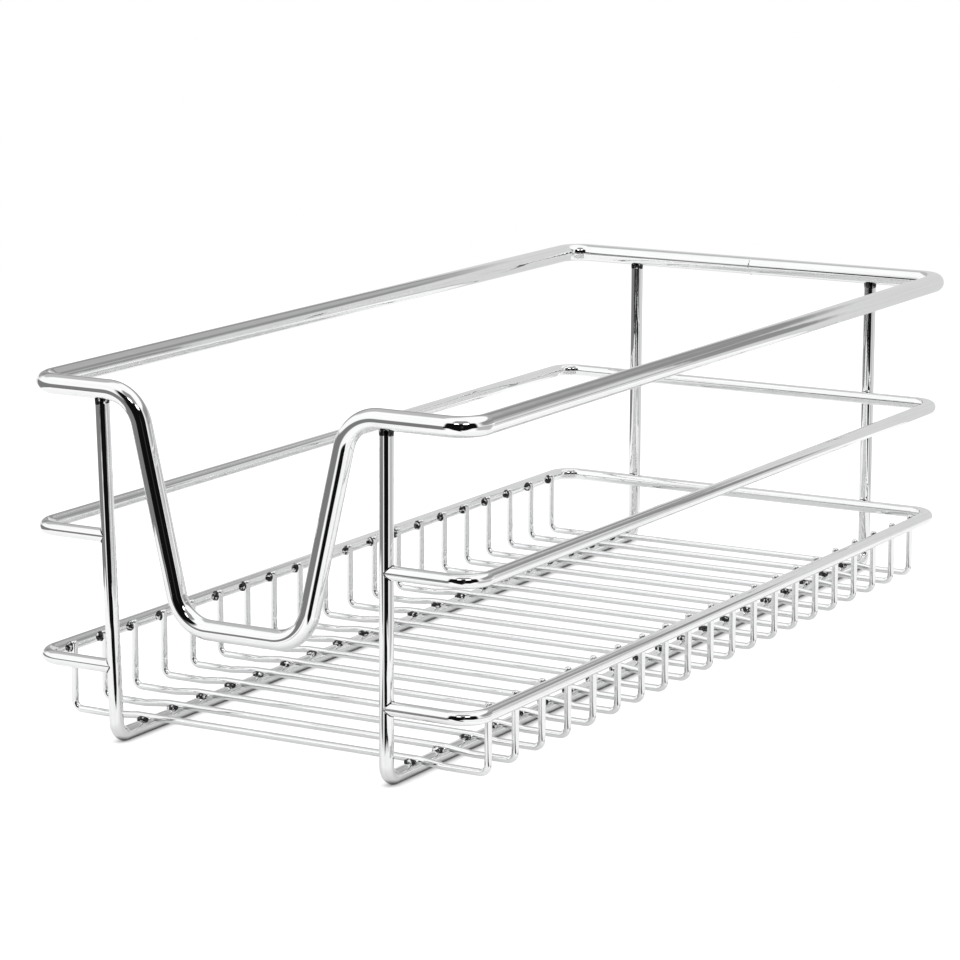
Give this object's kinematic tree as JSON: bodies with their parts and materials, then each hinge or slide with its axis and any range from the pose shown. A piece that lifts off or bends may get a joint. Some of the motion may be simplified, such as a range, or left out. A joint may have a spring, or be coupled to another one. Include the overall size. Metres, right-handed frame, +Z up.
{
  "type": "pull out cabinet basket",
  "caption": "Deep narrow chrome wire basket for a kitchen cabinet: bent rod rim with a dipped front handle, two side rails, two standing frames and a cross wire floor.",
  "frame": {"origin": "on the ground under the middle of the basket, at the centre of the bottom of its box", "axes": "+Z up, front with the handle towards -Y, +X to the right as seen from the front"},
  "size_m": [0.2, 0.44, 0.142],
  "materials": {
    "chrome_rod": "bright polished chrome plate on bent steel rod",
    "chrome_wire": "bright chrome plate on thin steel wire",
    "weld_bead": "chrome plate over a slightly rough weld spot"
  },
  "bodies": {
    "root": {"top_rim": "chrome_rod", "middle_rail": "chrome_rod", "lower_rail": "chrome_rod", "left_frame": "chrome_rod", "right_frame": "chrome_rod", "cross_wire_01": "chrome_wire", "cross_wire_02": "chrome_wire", "cross_wire_03": "chrome_wire", "cross_wire_04": "chrome_wire", "cross_wire_05": "chrome_wire", "cross_wire_06": "chrome_wire", "cross_wire_07": "chrome_wire", "cross_wire_08": "chrome_wire", "cross_wire_09": "chrome_wire", "cross_wire_10": "chrome_wire", "cross_wire_11": "chrome_wire", "cross_wire_12": "chrome_wire", "cross_wire_13": "chrome_wire", "cross_wire_14": "chrome_wire", "cross_wire_15": "chrome_wire", "cross_wire_16": "chrome_wire", "cross_wire_17": "chrome_wire", "cross_wire_18": "chrome_wire", "cross_wire_19": "chrome_wire", "cross_wire_20": "chrome_wire", "rim_seam_weld": "weld_bead", "front_left_welds": "weld_bead", "front_right_welds": "weld_bead", "rear_left_welds": "weld_bead", "rear_right_welds": "weld_bead", "floor_welds": "weld_bead", "wire_end_welds": "weld_bead"}
  },
  "joints": []
}
